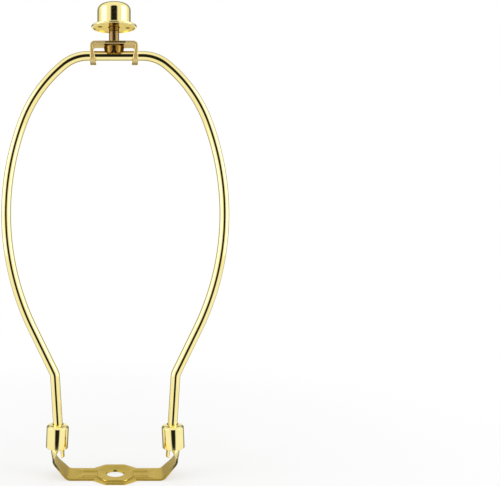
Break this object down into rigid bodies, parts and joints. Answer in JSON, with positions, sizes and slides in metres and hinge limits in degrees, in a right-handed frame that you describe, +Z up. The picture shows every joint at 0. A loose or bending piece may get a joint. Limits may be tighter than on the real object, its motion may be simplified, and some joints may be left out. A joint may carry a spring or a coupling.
{
  "type": "lamp harp",
  "caption": "Bent-wire lamp harp that carries a lampshade over a bulb, with a stamped saddle, sliding ferrules, a tilting clip with a threaded post, and a screw-on cap finial.",
  "frame": {"origin": "middle of the saddle's underside, on the axis of its pipe bore", "axes": "+Z up the lamp's stem to the finial, +X across the bow from one leg to the other, +Y from front to back"},
  "size_m": [0.1306, 0.0274, 0.2702],
  "materials": {
    "polished_brass": "polished, bright gold",
    "satin_brass": "satin, olive gold",
    "clip_brass": "stamped, half bright",
    "base_brass": "stamped, half bright",
    "post_brass": "machined, brownish"
  },
  "bodies": {
    "saddle": {"saddle": "satin_brass"},
    "bow": {"bow": "polished_brass"},
    "ferrule_left": {"ferrule_left": "polished_brass"},
    "ferrule_right": {"ferrule_right": "polished_brass"},
    "clip": {"clip": "clip_brass", "stud": "post_brass"},
    "finial_core": {"finial_insert": "post_brass"},
    "finial": {"finial_cap": "polished_brass", "finial_base": "base_brass"}
  },
  "joints": [
    {"name": "bow_lift", "type": "slide", "parent": "saddle", "child": "bow", "axis": [0, 0, 1], "range_m": [0, 0.03]},
    {"name": "ferrule_left_slide", "type": "slide", "parent": "bow", "child": "ferrule_left", "axis": [-0.061, 0, 0.9981], "range_m": [0, 0.022]},
    {"name": "ferrule_right_slide", "type": "slide", "parent": "bow", "child": "ferrule_right", "axis": [0.061, 0, 0.9981], "range_m": [0, 0.022]},
    {"name": "clip_tilt", "type": "hinge", "parent": "bow", "child": "clip", "pos_m": [0, 0, 0.24036], "axis": [1, 0, 0], "range_deg": [-30, 30]},
    {"name": "finial_lift", "type": "slide", "parent": "clip", "child": "finial_core", "axis": [0, 0, 1], "range_m": [-0.0083, 0.0043]},
    {"name": "finial_turn", "type": "hinge", "parent": "finial_core", "child": "finial", "pos_m": [-0.0007, 0, 0.2568], "axis": [0, 0, 1], "range_deg": [-3138, 1607]}
  ],
  "couplings": [
    {"joint": "finial_lift", "follows": "finial_turn", "m_per_rad": 0.00014972}
  ]
}
